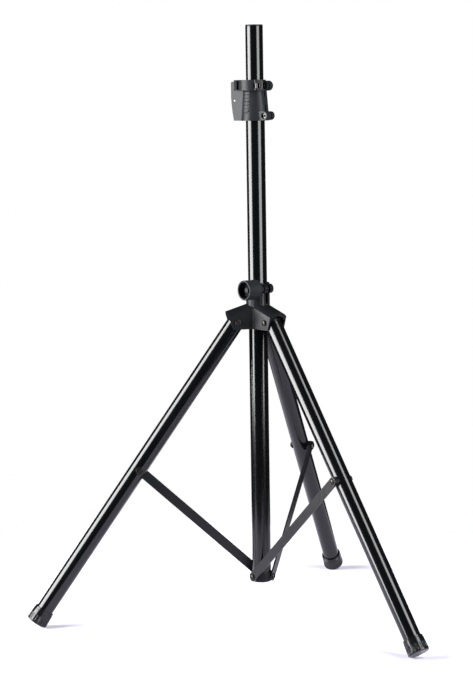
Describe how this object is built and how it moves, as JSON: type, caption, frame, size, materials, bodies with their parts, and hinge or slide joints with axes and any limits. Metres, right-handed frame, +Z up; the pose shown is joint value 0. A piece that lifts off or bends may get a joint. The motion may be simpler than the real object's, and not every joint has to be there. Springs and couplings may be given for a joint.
{
  "type": "speaker tripod stand",
  "caption": "Folding tripod stand for a loudspeaker: braced tube legs on a sliding crown, a telescoping mast and a quick-clamp collar.",
  "frame": {"origin": "on the mast's axis at floor level, where the floor holds the stand up", "axes": "+Z up along the mast, +Y along the rear leg; the other two legs are 120 degrees to each side of it"},
  "size_m": [0.8398, 0.7331, 1.203],
  "materials": {
    "black_tube": "gloss black enamel on steel tube",
    "black_steel": "satin black enamel on flat bar, black oxide on bolts",
    "bright_steel": "zinc-plated steel",
    "grey_moulding": "fine-textured dark grey moulding",
    "dark_moulding": "satin black moulding",
    "foot_rubber": "firm dark rubber"
  },
  "bodies": {
    "mast": {"lower_mast_tube": "black_tube", "bottom_hub": "grey_moulding", "hub_bolt_rear": "black_steel", "hub_bolt_left": "black_steel", "hub_bolt_right": "black_steel", "clamp_sleeve": "grey_moulding", "clamp_bush": "dark_moulding", "lower_clamp_screw": "bright_steel", "lower_clamp_nut": "dark_moulding", "fin_pin": "bright_steel", "tension_bolt": "black_steel", "pressure_washer": "black_steel", "tension_nut": "dark_moulding", "lever_pivot_pin": "bright_steel"},
    "guide": {"mast_end_plug": "dark_moulding"},
    "upper_mast": {"upper_mast_tube": "black_tube", "mast_top_cap": "dark_moulding"},
    "lever": {"cam_lever": "grey_moulding", "lever_end_pin": "bright_steel"},
    "crown": {"crown": "grey_moulding", "crown_clamp_nut": "black_steel", "leg_pivot_bolt_rear": "black_steel", "leg_pivot_bolt_left": "black_steel", "leg_pivot_bolt_right": "black_steel", "leg_pivot_nut_rear": "black_steel", "leg_pivot_nut_left": "black_steel", "leg_pivot_nut_right": "black_steel"},
    "knob": {"crown_knob": "grey_moulding", "crown_knob_screw": "bright_steel"},
    "leg_rear": {"leg_tube_rear": "black_tube", "leg_head_rear": "dark_moulding", "foot_cap_rear": "foot_rubber", "brace_spacer_rear": "dark_moulding", "brace_stud_rear": "black_steel", "brace_nut_rear": "black_steel"},
    "brace_rear": {"brace_bar_rear": "black_steel", "brace_bolt_head_rear": "black_steel"},
    "leg_left": {"leg_tube_left": "black_tube", "leg_head_left": "dark_moulding", "foot_cap_left": "foot_rubber", "brace_spacer_left": "dark_moulding", "brace_stud_left": "black_steel", "brace_nut_left": "black_steel"},
    "brace_left": {"brace_bar_left": "black_steel", "brace_bolt_head_left": "black_steel"},
    "leg_right": {"leg_tube_right": "black_tube", "leg_head_right": "dark_moulding", "foot_cap_right": "foot_rubber", "brace_spacer_right": "dark_moulding", "brace_stud_right": "black_steel", "brace_nut_right": "black_steel"},
    "brace_right": {"brace_bar_right": "black_steel", "brace_bolt_head_right": "black_steel"}
  },
  "joints": [
    {"name": "mast_slide", "type": "slide", "parent": "mast", "child": "guide", "axis": [0, 0, 1], "range_m": [0, 0.78]},
    {"name": "mast_turn", "type": "hinge", "parent": "guide", "child": "upper_mast", "pos_m": [0, 0, 0.15], "axis": [0, 0, 1], "continuous": true},
    {"name": "cam_lever_hinge", "type": "hinge", "parent": "mast", "child": "lever", "pos_m": [0.02131, -0.02133, 1.0836], "axis": [0, 0, 1], "range_deg": [0, 95]},
    {"name": "crown_slide", "type": "slide", "parent": "mast", "child": "crown", "axis": [0, 0, 1], "range_m": [0, 0.1699]},
    {"name": "crown_knob_turn", "type": "hinge", "parent": "crown", "child": "knob", "pos_m": [0.02425, -0.014, 0.6773], "axis": [-0.5, -0.866, 0], "range_deg": [0, 540]},
    {"name": "leg_hinge_rear", "type": "hinge", "parent": "crown", "child": "leg_rear", "pos_m": [0, 0.045, 0.61], "axis": [-1, 0, 0], "range_deg": [0, 33.01]},
    {"name": "brace_hinge_rear", "type": "hinge", "parent": "mast", "child": "brace_rear", "pos_m": [0.0233, 0, 0.085], "axis": [1, 0, 0], "range_deg": [0, 37.67]},
    {"name": "leg_hinge_left", "type": "hinge", "parent": "crown", "child": "leg_left", "pos_m": [-0.03897, -0.0225, 0.61], "axis": [0.5, -0.866, 0], "range_deg": [0, 33.01]},
    {"name": "brace_hinge_left", "type": "hinge", "parent": "mast", "child": "brace_left", "pos_m": [-0.01165, 0.02018, 0.085], "axis": [-0.5, 0.866, 0], "range_deg": [0, 37.67]},
    {"name": "leg_hinge_right", "type": "hinge", "parent": "crown", "child": "leg_right", "pos_m": [0.03897, -0.0225, 0.61], "axis": [0.5, 0.866, 0], "range_deg": [0, 33.01]},
    {"name": "brace_hinge_right", "type": "hinge", "parent": "mast", "child": "brace_right", "pos_m": [-0.01165, -0.02018, 0.085], "axis": [-0.5, -0.866, 0], "range_deg": [0, 37.67]}
  ],
  "couplings": [
    {"joint": "leg_hinge_rear", "follows": "crown_slide", "rad_per_m": 3.3899},
    {"joint": "brace_hinge_rear", "follows": "crown_slide", "rad_per_m": 3.869},
    {"joint": "leg_hinge_left", "follows": "crown_slide", "rad_per_m": 3.3899},
    {"joint": "brace_hinge_left", "follows": "crown_slide", "rad_per_m": 3.869},
    {"joint": "leg_hinge_right", "follows": "crown_slide", "rad_per_m": 3.3899},
    {"joint": "brace_hinge_right", "follows": "crown_slide", "rad_per_m": 3.869}
  ]
}
